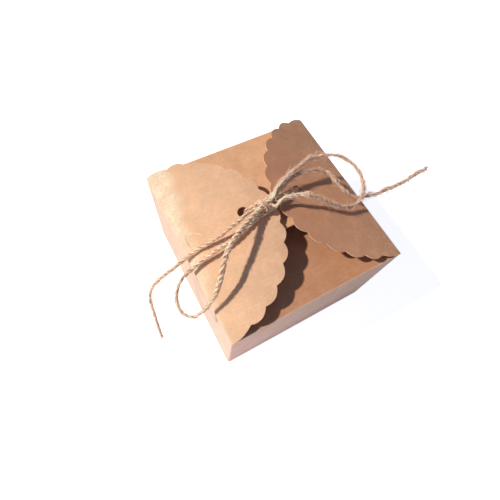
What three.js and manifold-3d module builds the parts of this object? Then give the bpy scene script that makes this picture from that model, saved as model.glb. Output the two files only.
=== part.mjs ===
// A square gift box folded from one sheet of kraft card. Two scalloped petals bow over its top, two plain
// flaps close it under them, and jute twine runs through a hole in each petal and is tied in a bow.
// Millimetres, +Z up. The origin is the centre of the base, with the petals' creases at -X and +X.

import * as THREE from "three";
import { mergeVertices } from "three/addons/utils/BufferGeometryUtils.js";
import Module from "manifold-3d";

const wasm = await Module();
wasm.setup();

// The folded box, over its outer faces.
const boxWidth = 90;
const boxDepth = 90;
const boxHeight = 60;
const card = 0.5;
const foldRadius = 1;

// Clearance between two pieces that lie against each other, such as layers of card.
const gap = 0.3;

// Petals: the flat shape reaches petalOverrun past the middle, which the bow takes up again.
const petalOverrun = 1.7;
const scallopRise = 1.95;
const leftBow = { atCrease: 36, atTip: -5 };
const rightBow = { atCrease: 24, atTip: 8 };
const petalFacets = 14;
const petalSideInset = 1.5;
const scallops = 12;
const endScallopAngle = 15;
const endScallopRise = 1;
const scallopSegments = 5;
const holeDiameter = 5;
const holeFromCrease = 32.1;
const holeOffset = 2.2;

// Inner flaps: straight tips, and sides drawn in so that they swing clear of the petals.
const frontFlapLength = 42;
const backFlapLength = 58;
const innerFlapTipWidth = 30;
const innerFlapInset = 2;
const innerFlapTipRadius = 4;
const frontFlapTilt = 0;
const backFlapTilt = 9;

// Seam tab: glued inside the left wall at its back corner.
const seamTabWidth = 15;
const seamTabEndInset = 5;
const seamTabTaper = 6;

// Bottom: the tongue of the back flap comes up through the notch of the front flap and lies on it.
const notchedFlapLength = 56;
const notchWidth = 34;
const notchDepth = 18;
const tongueFlapLength = 37.5;
const tongueWidth = 29;
const tongueLength = 28;
const tongueRadius = 6;
const sideFlapLength = 26;
const bottomFlapTaper = 8;
const bottomFlapRadius = 5;

// Twine: two-ply jute, with points along its middle.
const twineDiameter = 2;
const twineSides = 8;
const twineStep = 7;
const bandStep = 1.2;
const knot = { length: 8, width: 6.8, height: 5.2, wrapRadius: 1.75, wrapSpacing: 2.1, turn: 14 };
const knotPlace = new THREE.Vector3(-6.8, -1.4, 76.75);
const twineRoutes = {
  twine_tail_left: [
    [-11.3, -0.9, 75.2], [-15.8, -1.3, 75.9], [-19.9, -2.4, 75.7], [-23.9, -3.1, 75.1],
    [-27.8, -3.4, 73.5], [-32.6, -3.4, 70.7], [-36.9, -3.1, 67.4], [-41.5, -2.8, 64.1],
    [-45.5, -3.0, 62.2], [-51.1, -4.1, 60.9], [-56.0, -4.3, 58.3], [-61.1, -4.0, 53.5],
    [-64.9, -3.7, 46.5], [-67.3, -4.7, 38.5], [-68.7, -7.3, 27.0], [-70.4, -11.7, 13.0],
    [-71.7, -15.9, 1.7],
  ],
  twine_loop_left: [
    [-11.2, -3.2, 77.4], [-17.3, -6.2, 78.3], [-22.3, -8.9, 79.8], [-26.7, -11.5, 80.4],
    [-31.1, -14.5, 80.2], [-34.6, -17.5, 78.7], [-38.3, -22.1, 75.7], [-43.8, -26.5, 69.3],
    [-48.4, -27.9, 65.3], [-53.5, -28.2, 63.2], [-56.9, -24.4, 62.0], [-56.9, -18.8, 61.8],
    [-54.6, -14.3, 62.2], [-51.1, -11.3, 63.0], [-47.0, -9.6, 62.7], [-41.3, -8.8, 65.8],
    [-36.1, -9.0, 69.3], [-30.4, -8.9, 71.5], [-25.0, -8.2, 72.7], [-18.8, -6.6, 73.6],
    [-11.2, -4.3, 74.8],
  ],
  twine_loop_right: [
    [-2.7, -0.9, 78.7], [1.2, 2.4, 79.0], [8.5, 5.5, 79.8], [16.9, 8.1, 80.2], [25.1, 9.5, 79.1],
    [31.0, 8.1, 79.1], [36.4, 5.8, 78.4], [40.4, 1.6, 77.0], [42.9, -3.5, 75.0], [43.1, -8.8, 72.8],
    [41.5, -12.2, 71.0], [38.7, -14.9, 69.5], [34.9, -16.1, 67.9], [29.2, -16.1, 70.0],
    [24.0, -14.3, 72.8], [19.1, -11.9, 76.2], [14.6, -9.4, 79.2], [9.6, -6.6, 80.9], [5.7, -4.6, 79.9],
    [1.4, -2.8, 77.5], [-2.4, -3.9, 76.0],
  ],
  twine_tail_right: [
    [-2.2, 1.5, 76.8], [3.2, 2.4, 76.5], [8.3, 4.2, 77.1], [13.8, 5.5, 77.4], [20.0, 5.5, 76.7],
    [26.4, 4.7, 74.7], [30.2, 1.6, 73.4], [31.3, -4.1, 72.4], [33.3, -9.3, 71.2], [38.0, -12.9, 68.0],
    [43.4, -14.2, 67.2], [50.5, -15.1, 66.4], [58.8, -15.0, 65.3], [67.8, -14.9, 64.6],
    [77.7, -13.8, 64.1], [86.2, -13.2, 63.6],
  ],
  twine_band: [
    [-11.4, 1.3, 74.5], [-13.0, 1.5, 73.9], [-14.1, 1.5, 73.3], [-14.6, 1.5, 72.2], [-14.2, 1.5, 71.0],
    [-12.8, 1.5, 70.2], [-8.5, 1.6, 69.3], [-4.0, 1.8, 68.8], [0.0, 1.9, 68.6], [4.0, 1.9, 68.4],
    [8.5, 1.9, 68.3], [12.0, 1.9, 68.5], [13.3, 1.9, 69.1], [13.7, 1.9, 70.2], [13.2, 1.9, 71.3],
    [12.0, 1.8, 72.0], [8.5, 1.5, 72.8], [4.0, 0.8, 73.9], [0.5, 0.0, 75.2], [-2.0, -0.5, 75.7],
  ],
};

// Heights and places that follow from the sizes above. A crease's axis is the middle of the card.
const creaseHeight = boxHeight - card / 2;
const creaseX = boxWidth / 2 - card / 2;
const creaseY = boxDepth / 2 - card / 2;
const wallTop = creaseHeight - card / 2 - gap;
const layer = card + gap;
const insideX = boxWidth / 2 - card - gap;
const insideY = boxDepth / 2 - card - gap;
const throughCut = 2 * (boxWidth + boxDepth + boxHeight);

const cardColour = new THREE.Color(0xc99b6c);
const innerCardColour = new THREE.Color(0xb98a5c);
const twineColour = new THREE.Color(0xb89a73);

function cardMaterial(colour) {
  return new THREE.MeshStandardMaterial({ color: colour, roughness: 0.85, metalness: 0 });
}

function twineMaterial() {
  return new THREE.MeshStandardMaterial({ color: twineColour, roughness: 0.95, metalness: 0 });
}

function radians(degrees) {
  return THREE.MathUtils.degToRad(degrees);
}

// Booleans: a geometry becomes a solid, and the solid becomes a geometry again.

function toSolid(geometry) {
  const bare = geometry.clone();
  bare.deleteAttribute("normal");
  bare.deleteAttribute("uv");
  const merged = mergeVertices(bare, 1e-4);
  return new wasm.Manifold(
    new wasm.Mesh({
      numProp: 3,
      vertProperties: new Float32Array(merged.attributes.position.array),
      triVerts: new Uint32Array(merged.index.array),
    }),
  );
}

function toGeometry(solid) {
  const mesh = solid.getMesh();
  const indexed = new THREE.BufferGeometry();
  indexed.setAttribute("position", new THREE.BufferAttribute(mesh.vertProperties, 3));
  indexed.setIndex(new THREE.BufferAttribute(mesh.triVerts, 1));
  const geometry = indexed.toNonIndexed();
  geometry.computeVertexNormals();
  return geometry;
}

function namedMesh(name, geometry, material) {
  const mesh = new THREE.Mesh(geometry, material);
  mesh.name = name;
  return mesh;
}

// Outlines

// A polygon whose corners are rounded, each by its own radius.
function roundedOutline(corners) {
  const shape = new THREE.Shape();
  corners.forEach(({ x, y, radius }, i) => {
    const here = new THREE.Vector2(x, y);
    const before = corners.at(i - 1);
    const after = corners[(i + 1) % corners.length];
    const toBefore = new THREE.Vector2(before.x - x, before.y - y).normalize();
    const toAfter = new THREE.Vector2(after.x - x, after.y - y).normalize();
    const halfAngle = Math.acos(THREE.MathUtils.clamp(toBefore.dot(toAfter), -1, 1)) / 2;
    const setback = radius / Math.tan(halfAngle);
    const start = here.clone().addScaledVector(toBefore, setback);
    const end = here.clone().addScaledVector(toAfter, setback);
    if (i === 0) shape.moveTo(start.x, start.y);
    else shape.lineTo(start.x, start.y);
    if (radius > 0) shape.quadraticCurveTo(x, y, end.x, end.y);
  });
  shape.closePath();
  return shape;
}

// The cross-section of a sheet that follows a middle line, as thick as the card all along.
function sheetSection(line) {
  const upper = [];
  const lower = [];
  line.forEach((point, i) => {
    const before = line[Math.max(i - 1, 0)];
    const after = line[Math.min(i + 1, line.length - 1)];
    const into = point.clone().sub(before).normalize();
    const outOf = after.clone().sub(point).normalize();
    const along = into.clone().add(outOf).normalize();
    const mitre = i === 0 || i === line.length - 1 ? 1 : Math.sqrt((1 + into.dot(outOf)) / 2);
    const offset = new THREE.Vector2(-along.y, along.x).multiplyScalar(card / 2 / mitre);
    upper.push(point.clone().add(offset));
    lower.push(point.clone().sub(offset));
  });
  return new THREE.Shape([...upper, ...lower.reverse()]);
}

// A bent sheet whose section lies in X and Z, cut to an outline drawn in plan.
function bentSheet(line, outline, length) {
  const sheet = new THREE.ExtrudeGeometry(sheetSection(line), { depth: length, bevelEnabled: false });
  sheet.rotateX(Math.PI / 2);
  sheet.translate(0, length / 2, 0);
  const cutter = new THREE.ExtrudeGeometry(outline, { depth: throughCut, bevelEnabled: false });
  cutter.translate(0, 0, -throughCut / 2);
  return toGeometry(toSolid(sheet).intersect(toSolid(cutter)));
}

// Walls: each is a flat panel that takes half of the fold at both of its corners.

function wallGeometry(length) {
  const innerRadius = foldRadius - card;
  const half = length / 2 - foldRadius;
  const outerTrim = Math.asin(gap / 2 / foldRadius);
  const innerTrim = Math.asin(gap / 2 / innerRadius);
  const down = -Math.PI / 2;
  const corner = Math.PI / 4;
  const section = new THREE.Shape();
  section.absarc(-half, foldRadius, foldRadius, down - corner + outerTrim, down, false);
  section.absarc(half, foldRadius, foldRadius, down, down + corner - outerTrim, false);
  section.absarc(half, foldRadius, innerRadius, down + corner - innerTrim, down, true);
  section.absarc(-half, foldRadius, innerRadius, down, down - corner + innerTrim, true);
  return new THREE.ExtrudeGeometry(section, { depth: wallTop, bevelEnabled: false, curveSegments: 4 });
}

function makeWalls() {
  const walls = new THREE.Group();
  const sides = [
    ["wall_front", boxWidth, boxDepth, 0],
    ["wall_right", boxDepth, boxWidth, 1],
    ["wall_back", boxWidth, boxDepth, 2],
    ["wall_left", boxDepth, boxWidth, 3],
  ];
  for (const [name, length, across, quarter] of sides) {
    const panel = wallGeometry(length);
    panel.translate(0, -across / 2, 0);
    const mesh = namedMesh(name, panel, cardMaterial(cardColour));
    mesh.rotation.z = (quarter * Math.PI) / 2;
    walls.add(mesh);
  }
  return walls;
}

function makeSeamTab() {
  const bottom = seamTabEndInset;
  const top = wallTop - seamTabEndInset;
  const outline = roundedOutline([
    { x: 0, y: bottom, radius: 0 },
    { x: seamTabWidth, y: bottom + seamTabTaper, radius: 1 },
    { x: seamTabWidth, y: top - seamTabTaper, radius: 1 },
    { x: 0, y: top, radius: 0 },
  ]);
  const tab = new THREE.ExtrudeGeometry(outline, { depth: card, bevelEnabled: false });
  tab.rotateX(Math.PI / 2);
  tab.rotateZ(-Math.PI / 2);
  const mesh = namedMesh("seam_tab", tab, cardMaterial(innerCardColour));
  mesh.position.set(-insideX + card, insideY, 0);
  return mesh;
}

// Bottom flaps, in layers from the table up. Each is drawn with its crease on the line x = 0.

function layerHeight(index) {
  return card / 2 + index * layer;
}

function flatLine(length, height) {
  return [new THREE.Vector2(0, height), new THREE.Vector2(length, height)];
}

function tongueFlap() {
  const creaseHalf = insideX - gap;
  const freeHalf = creaseHalf - bottomFlapTaper;
  const neck = tongueWidth / 2;
  const tip = tongueFlapLength + tongueLength;
  const outline = roundedOutline([
    { x: 0, y: -creaseHalf, radius: 0 },
    { x: tongueFlapLength, y: -freeHalf, radius: bottomFlapRadius },
    { x: tongueFlapLength, y: -neck, radius: 0 },
    { x: tip, y: -neck, radius: tongueRadius },
    { x: tip, y: neck, radius: tongueRadius },
    { x: tongueFlapLength, y: neck, radius: 0 },
    { x: tongueFlapLength, y: freeHalf, radius: bottomFlapRadius },
    { x: 0, y: creaseHalf, radius: 0 },
  ]);
  const notchRoot = 2 * insideY - notchedFlapLength + notchDepth;
  const line = [
    new THREE.Vector2(0, layerHeight(0)),
    new THREE.Vector2(tongueFlapLength, layerHeight(0)),
    new THREE.Vector2(notchRoot - gap - card, layerHeight(3)),
    new THREE.Vector2(tip + card, layerHeight(3)),
  ];
  return bentSheet(line, outline, boxWidth);
}

function notchedFlap() {
  const creaseHalf = insideX - gap;
  const freeHalf = creaseHalf - bottomFlapTaper;
  const root = notchedFlapLength - notchDepth;
  const outline = roundedOutline([
    { x: 0, y: -creaseHalf, radius: 0 },
    { x: notchedFlapLength, y: -freeHalf, radius: bottomFlapRadius },
    { x: notchedFlapLength, y: -notchWidth / 2, radius: 1 },
    { x: root, y: -notchWidth / 2, radius: 2 },
    { x: root, y: notchWidth / 2, radius: 2 },
    { x: notchedFlapLength, y: notchWidth / 2, radius: 1 },
    { x: notchedFlapLength, y: freeHalf, radius: bottomFlapRadius },
    { x: 0, y: creaseHalf, radius: 0 },
  ]);
  return bentSheet(flatLine(notchedFlapLength + card, layerHeight(2)), outline, boxWidth);
}

function sideFlap() {
  const creaseHalf = insideY - gap;
  const freeHalf = creaseHalf - sideFlapLength / 2;
  const outline = roundedOutline([
    { x: 0, y: -creaseHalf, radius: 0 },
    { x: sideFlapLength, y: -freeHalf, radius: bottomFlapRadius },
    { x: sideFlapLength, y: freeHalf, radius: bottomFlapRadius },
    { x: 0, y: creaseHalf, radius: 0 },
  ]);
  return bentSheet(flatLine(sideFlapLength + card, layerHeight(1)), outline, boxDepth);
}

function makeBottom() {
  const bottom = new THREE.Group();
  const flaps = [
    ["bottom_flap_back", tongueFlap(), 0, insideY, 3],
    ["bottom_flap_front", notchedFlap(), 0, -insideY, 1],
    ["bottom_flap_left", sideFlap(), -insideX, 0, 0],
    ["bottom_flap_right", sideFlap(), insideX, 0, 2],
  ];
  for (const [name, geometry, x, y, quarter] of flaps) {
    const mesh = namedMesh(name, geometry, cardMaterial(innerCardColour));
    mesh.position.set(x, y, 0);
    mesh.rotation.z = (quarter * Math.PI) / 2;
    bottom.add(mesh);
  }
  return bottom;
}

// Petals: the flat outline is a half ellipse with scallops, and the card bows on an arc from its crease.

const petalLength = boxWidth / 2 + petalOverrun;

// The point of the bowed card at a distance along it from the crease.
function bowPoint(bow, distance) {
  const start = radians(bow.atCrease);
  const radius = petalLength / (start - radians(bow.atTip));
  const slope = start - distance / radius;
  return new THREE.Vector2(
    radius * (Math.sin(start) - Math.sin(slope)),
    radius * (Math.cos(slope) - Math.cos(start)),
  );
}

// Flat points along the scalloped edge, from one end of the crease to the other.
function scallopedEdge() {
  const onEllipse = (degrees) =>
    new THREE.Vector2(
      (boxWidth / 2) * Math.cos(radians(degrees)),
      (boxDepth / 2 - petalSideInset) * Math.sin(radians(degrees)),
    );
  const creaseEnd = new THREE.Vector2(0, boxDepth / 2);
  const inner = 90 - endScallopAngle;
  const cusps = [creaseEnd.clone().negate()];
  for (let i = 0; i <= scallops; i++) cusps.push(onEllipse(-inner + (2 * inner * i) / scallops));
  cusps.push(creaseEnd);
  const points = [cusps[0]];
  for (let i = 1; i < cusps.length; i++) {
    const from = cusps[i - 1];
    const to = cusps[i];
    const isEnd = i === 1 || i === cusps.length - 1;
    const chordMiddle = from.clone().add(to).multiplyScalar(0.5);
    const rise = isEnd ? endScallopRise : scallopRise;
    const crest = chordMiddle.clone().addScaledVector(chordMiddle.clone().normalize(), rise);
    const control = crest.multiplyScalar(2).sub(chordMiddle);
    const arc = new THREE.QuadraticBezierCurve(from, control, to);
    points.push(...arc.getPoints(scallopSegments).slice(1));
  }
  return points;
}

function petalGeometry(bow) {
  const inPlan = (flat) => new THREE.Vector2(bowPoint(bow, flat.x).x, flat.y);
  const outline = new THREE.Shape(scallopedEdge().map(inPlan));
  const hole = new THREE.EllipseCurve(holeFromCrease, holeOffset, holeDiameter / 2, holeDiameter / 2);
  outline.holes.push(new THREE.Path(hole.getPoints(20).slice(1).map(inPlan)));
  const line = [];
  for (let i = 0; i <= petalFacets; i++) {
    line.push(bowPoint(bow, ((petalLength + card) * i) / petalFacets));
  }
  return bentSheet(line, outline, boxDepth + 2 * petalLength);
}

function makePetals() {
  const petals = new THREE.Group();
  const left = namedMesh("petal_left", petalGeometry(leftBow), cardMaterial(cardColour));
  left.position.set(-creaseX, 0, creaseHeight);
  const right = namedMesh("petal_right", petalGeometry(rightBow), cardMaterial(cardColour));
  right.position.set(creaseX, 0, creaseHeight);
  right.scale.x = -1;
  petals.add(left, right);
  return petals;
}

// Inner flaps

function innerFlapGeometry(length) {
  const creaseHalf = boxWidth / 2 - innerFlapInset;
  const tipHalf = innerFlapTipWidth / 2;
  const outline = roundedOutline([
    { x: -creaseHalf, y: 0, radius: 0 },
    { x: creaseHalf, y: 0, radius: 0 },
    { x: tipHalf, y: length, radius: innerFlapTipRadius },
    { x: -tipHalf, y: length, radius: innerFlapTipRadius },
  ]);
  const flap = new THREE.ExtrudeGeometry(outline, { depth: card, bevelEnabled: false });
  flap.translate(0, 0, -card / 2);
  return flap;
}

function makeInnerFlaps() {
  const flaps = new THREE.Group();
  const flap = (name, length) => namedMesh(name, innerFlapGeometry(length), cardMaterial(innerCardColour));
  const front = flap("inner_flap_front", frontFlapLength);
  front.position.set(0, -creaseY, creaseHeight);
  front.rotation.x = radians(frontFlapTilt);
  const back = flap("inner_flap_back", backFlapLength);
  back.position.set(0, creaseY, creaseHeight);
  back.rotation.set(radians(backFlapTilt), 0, Math.PI, "ZXY");
  flaps.add(front, back);
  return flaps;
}

// Twine

function twineGeometry(points, step) {
  const path = new THREE.CatmullRomCurve3(points.map((p) => new THREE.Vector3(...p)));
  const section = new THREE.Shape();
  for (let i = 0; i < twineSides; i++) {
    const angle = (2 * Math.PI * i) / twineSides;
    const x = (twineDiameter / 2) * Math.cos(angle);
    const y = (twineDiameter / 2) * Math.sin(angle);
    if (i === 0) section.moveTo(x, y);
    else section.lineTo(x, y);
  }
  return new THREE.ExtrudeGeometry(section, {
    steps: Math.round(path.getLength() / step),
    extrudePath: path,
    bevelEnabled: false,
  });
}

// The knot: the bundle's core, with two turns of twine wrapped round it side by side.
function knotGeometry() {
  const core = new THREE.SphereGeometry(0.5, 16, 10);
  core.scale(knot.length, knot.width, knot.height);
  let solid = toSolid(core);
  for (const side of [-0.5, 0.5]) {
    const wrap = new THREE.TorusGeometry(knot.wrapRadius, twineDiameter / 2, 8, 16);
    wrap.scale(knot.width / knot.height, 1, 1);
    wrap.rotateX(Math.PI / 2);
    wrap.rotateZ(Math.PI / 2);
    wrap.translate(side * knot.wrapSpacing, 0, 0);
    solid = solid.add(toSolid(wrap));
  }
  return toGeometry(solid);
}

function makeTwine() {
  const twine = new THREE.Group();
  const tied = namedMesh("twine_knot", knotGeometry(), twineMaterial());
  tied.position.copy(knotPlace);
  tied.rotation.z = radians(knot.turn);
  twine.add(tied);
  for (const [name, points] of Object.entries(twineRoutes)) {
    const step = name === "twine_band" ? bandStep : twineStep;
    twine.add(namedMesh(name, twineGeometry(points, step), twineMaterial()));
  }
  return twine;
}

const giftBox = new THREE.Group();
giftBox.add(makeWalls(), makeSeamTab(), makeBottom(), makePetals(), makeInnerFlaps(), makeTwine());

export default giftBox;
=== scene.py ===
import math
import random

import bpy
from mathutils import Matrix, Vector, noise
from mathutils.geometry import delaunay_2d_cdt


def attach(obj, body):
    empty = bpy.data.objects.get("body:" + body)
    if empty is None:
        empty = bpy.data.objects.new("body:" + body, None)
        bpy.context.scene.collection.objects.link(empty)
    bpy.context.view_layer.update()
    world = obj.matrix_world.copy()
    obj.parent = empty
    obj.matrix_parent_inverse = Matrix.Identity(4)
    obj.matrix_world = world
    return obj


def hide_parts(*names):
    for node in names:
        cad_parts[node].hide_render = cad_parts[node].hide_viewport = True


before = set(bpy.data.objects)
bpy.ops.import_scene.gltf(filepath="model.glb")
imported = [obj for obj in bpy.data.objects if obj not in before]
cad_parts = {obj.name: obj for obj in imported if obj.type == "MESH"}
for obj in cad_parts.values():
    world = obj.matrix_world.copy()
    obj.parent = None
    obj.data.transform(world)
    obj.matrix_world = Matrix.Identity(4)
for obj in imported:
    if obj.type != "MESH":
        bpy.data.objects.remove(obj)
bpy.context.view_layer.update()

# Lengths in the making are millimetres, and meshes are written in metres.
MM = 0.001
rng = random.Random(20)
scene = bpy.context.scene
scene.view_settings.view_transform = "Standard"

# Sizes of the box, as in its CAD source.
HALF = 45.0
CARD = 0.5
CREASE = 44.75
CREASE_HEIGHT = 59.75
PETAL_LENGTH = 46.7
PETAL_HALF_WIDTH = 43.5
SCALLOP_RISE = 1.95
END_SCALLOP_RISE = 1.0
SCALLOPS = 12
SCALLOPS_FROM = 75
HOLE_RADIUS = 2.5
HOLE_FROM_CREASE = 32.1
HOLE_OFFSET = 2.2
RIGHT_HOLE_SHIFT = 0.9


# ---- Camera, at the photograph's place ----

CAMERA_PLACE = (-59.59, -62.88, 205.94)
CAMERA_TURN = (-19.44583465, 9.0909861, 23.81075759)
FOCAL_SHARE = 352.193 / 500
SENSOR = 36.0
NEAREST_SEEN = 0.005


def make_camera():
    """CAMERA_TURN is the world's turn into the camera's view, as an axis times radians."""
    data = bpy.data.cameras.new("camera")
    data.sensor_width = SENSOR
    data.lens = SENSOR * FOCAL_SHARE
    data.clip_start = NEAREST_SEEN
    camera = bpy.data.objects.new("camera", data)
    scene.collection.objects.link(camera)
    turn = Vector(CAMERA_TURN)
    to_camera = Matrix.Rotation(turn.length, 3, turn.normalized())
    camera.matrix_world = (
        Matrix.Translation(Vector(CAMERA_PLACE) * MM) @ to_camera.transposed().to_4x4()
    )
    scene.camera = camera


make_camera()


# ---- Nodes and materials ----


class Nodes:
    """A short way to add and link shader nodes."""

    def __init__(self, tree):
        self.tree = tree

    def add(self, kind, inputs=None, **settings):
        node = self.tree.nodes.new(kind)
        for key, value in settings.items():
            setattr(node, key, value)
        for key, value in (inputs or {}).items():
            if isinstance(value, bpy.types.NodeSocket):
                self.tree.links.new(value, node.inputs[key])
            else:
                node.inputs[key].default_value = value
        return node

    def math(self, operation, a, b=0.0, clamp=False):
        made = self.add("ShaderNodeMath", {0: a, 1: b}, operation=operation, use_clamp=clamp)
        return made.outputs[0]

    def ramp(self, value, low, high, to_low=0.0, to_high=1.0):
        ends = {"From Min": low, "From Max": high, "To Min": to_low, "To Max": to_high}
        return self.add("ShaderNodeMapRange", {"Value": value, **ends}).outputs[0]

    def mix(self, factor, a, b, blend="MIX"):
        inputs = {0: factor, 6: a, 7: b}
        made = self.add("ShaderNodeMix", inputs, data_type="RGBA", blend_type=blend)
        return made.outputs[2]

    def noise(self, vector, scale, detail=2.0, roughness=0.5):
        inputs = {"Vector": vector, "Scale": scale, "Detail": detail, "Roughness": roughness}
        return self.add("ShaderNodeTexNoise", inputs).outputs[0]

    def stretched(self, vector, scale, turn):
        made = self.add("ShaderNodeMapping", {"Vector": vector, "Scale": scale, "Rotation": turn})
        return made.outputs[0]


def linear(red, green, blue):
    """An sRGB colour of 0 to 255 as linear RGBA."""

    def one(c):
        c /= 255
        return c / 12.92 if c <= 0.04045 else ((c + 0.055) / 1.055) ** 2.4

    return (one(red), one(green), one(blue), 1.0)


def shade(colour, factor):
    """The colour times a factor, with each channel at most 1."""
    return tuple(min(1.0, c * factor) for c in colour[:3]) + (1.0,)


def new_material(name, colour):
    material = bpy.data.materials.new(name)
    material.use_nodes = True
    material.diffuse_color = colour
    nodes = Nodes(material.node_tree)
    return material, nodes, material.node_tree.nodes["Principled BSDF"]


def crease_wear(nodes, place):
    """1 on the folds of the box, falling to 0 about a millimetre away."""
    parts = nodes.add("ShaderNodeSeparateXYZ", {0: place})
    x = nodes.math("ABSOLUTE", parts.outputs[0])
    y = nodes.math("ABSOLUTE", parts.outputs[1])
    z = parts.outputs[2]
    wall = (HALF - 0.1) * MM
    inward = nodes.math("MAXIMUM", nodes.math("SUBTRACT", wall, nodes.math("MAXIMUM", x, y)), 0.0)

    def from_level(level):
        away = nodes.math("ABSOLUTE", nodes.math("SUBTRACT", z, level * MM))
        return nodes.math("ADD", inward, away)

    top, low = from_level(CREASE_HEIGHT), from_level(CARD / 2)
    corner = nodes.math("SUBTRACT", HALF * MM, nodes.math("MINIMUM", x, y))
    nearest = nodes.math("MINIMUM", nodes.math("MINIMUM", top, low), corner)
    return nodes.ramp(nearest, 0.25 * MM, 1.3 * MM, 1.0, 0.0)


def card_material(name, colour, warm, seed, at_crease=None, crease_highlight=None):
    """Kraft card: clouded pulp, fine fibres across each other, flecks, and paler folds.

    at_crease is the tone the colour turns to from the middle of the box out to its sides, painted
    shade on the left petal and painted light on the right one, and crease_highlight the tone of a
    painted highlight strip along the left crease, widest at the back.
    """
    material, nodes, shader = new_material(name, colour)
    pinker = (colour[0] * 1.04, colour[1] * 0.97, colour[2] * 1.06, 1.0)
    place = nodes.add("ShaderNodeTexCoord").outputs["Object"]
    moved = nodes.add("ShaderNodeVectorMath", {0: place, 1: (seed, seed * 0.7, 0.0)}).outputs[0]
    clouds = nodes.noise(moved, 150.0, 4.0, 0.55)
    patches = nodes.noise(moved, 48.0, 2.0, 0.5)
    pulp = nodes.noise(moved, 620.0, 3.0, 0.6)
    fibres = None
    for turn in ((0.3, 0.2, 0.35), (1.2, 0.5, 1.35), (0.7, 1.1, 2.3)):
        run = nodes.noise(nodes.stretched(moved, (260.0, 2600.0, 1700.0), turn), 1.0, 2.0, 0.5)
        fibres = run if fibres is None else nodes.math("MAXIMUM", fibres, run)
    body = colour
    # Painted shade towards the left petal's crease and painted light towards the right one's, which
    # even out how the key lamp falls across each petal.
    if at_crease:
        parts = nodes.add("ShaderNodeSeparateXYZ", {0: place})
        out = nodes.math("ABSOLUTE", parts.outputs[0])
        body = nodes.mix(nodes.ramp(out, 2 * MM, 44 * MM), body, at_crease)
        # A painted highlight: a paler strip along the left crease, widest at the back.
        if crease_highlight:
            reach = nodes.ramp(parts.outputs[1], -HALF * MM, HALF * MM, 3 * MM, 14 * MM)
            waver = nodes.ramp(patches, 0.3, 0.7, -1.2 * MM, 1.2 * MM)
            inner = nodes.math("SUBTRACT", (HALF + 1) * MM, nodes.math("ADD", reach, waver))
            # It comes in over 6 mm.
            highlight_strip = nodes.math("MULTIPLY", nodes.math("SUBTRACT", out, inner), 1 / (6 * MM), True)
            body = nodes.mix(highlight_strip, body, crease_highlight)
    cloudy = nodes.ramp(clouds, 0.38, 0.62, 0.905, 1.07)
    body = nodes.mix(1.0, body, nodes.ramp(patches, 0.38, 0.62, 0.965, 1.03), "MULTIPLY")
    body = nodes.mix(1.0, body, cloudy, "MULTIPLY")
    hues = nodes.noise(nodes.stretched(moved, (1.0, 1.0, 1.0), (0.4, 0.9, 1.7)), 95.0, 3.0, 0.6)
    body = nodes.mix(nodes.ramp(hues, 0.42, 0.6, 0.0, 0.4), body, warm)
    body = nodes.mix(nodes.ramp(hues, 0.36, 0.5, 0.3, 0.0), body, shade(pinker, 1.03))
    body = nodes.mix(nodes.ramp(pulp, 0.42, 0.62, 0.0, 0.5), body, warm)
    body = nodes.mix(nodes.ramp(fibres, 0.56, 0.72, 0.0, 0.35), body, shade(colour, 1.2))
    flecks = nodes.noise(moved, 1500.0, 1.0, 0.5)
    spread = nodes.noise(moved, 300.0, 1.0, 0.5)
    dark = nodes.math(
        "MULTIPLY", nodes.ramp(flecks, 0.68, 0.74), nodes.ramp(spread, 0.5, 0.62, 0.0, 0.55)
    )
    body = nodes.mix(dark, body, shade(colour, 0.55))
    worn = nodes.math(
        "MULTIPLY", crease_wear(nodes, place), nodes.ramp(pulp, 0.3, 0.7, 0.12, 0.5)
    )
    body = nodes.mix(worn, body, shade(colour, 1.28))
    nodes.tree.links.new(body, shader.inputs["Base Color"])
    nodes.tree.links.new(nodes.ramp(pulp, 0.3, 0.7, 0.74, 0.88), shader.inputs["Roughness"])
    shader.inputs["Specular IOR Level"].default_value = 0.3
    ridges, grain = nodes.math("MULTIPLY", fibres, 0.7), nodes.math("MULTIPLY", pulp, 0.5)
    height = nodes.math("ADD", ridges, grain)
    bump = nodes.add("ShaderNodeBump", {"Strength": 0.35, "Distance": 0.12 * MM, "Height": height})
    nodes.tree.links.new(bump.outputs[0], shader.inputs["Normal"])
    return material


def edge_material(name, colour):
    """The cut edge of the card: pale, with its plies showing as fine lines."""
    material, nodes, shader = new_material(name, colour)
    place = nodes.add("ShaderNodeTexCoord").outputs["Object"]
    plies = nodes.noise(nodes.stretched(place, (500.0, 500.0, 9000.0), (0.0, 0.0, 0.0)), 1.0, 2.0)
    tone = nodes.mix(nodes.ramp(plies, 0.35, 0.65), shade(colour, 0.82), shade(colour, 1.12))
    nodes.tree.links.new(tone, shader.inputs["Base Color"])
    shader.inputs["Roughness"].default_value = 0.9
    bump = nodes.add("ShaderNodeBump", {"Strength": 0.4, "Distance": 0.08 * MM, "Height": plies})
    nodes.tree.links.new(bump.outputs[0], shader.inputs["Normal"])
    return material


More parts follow.
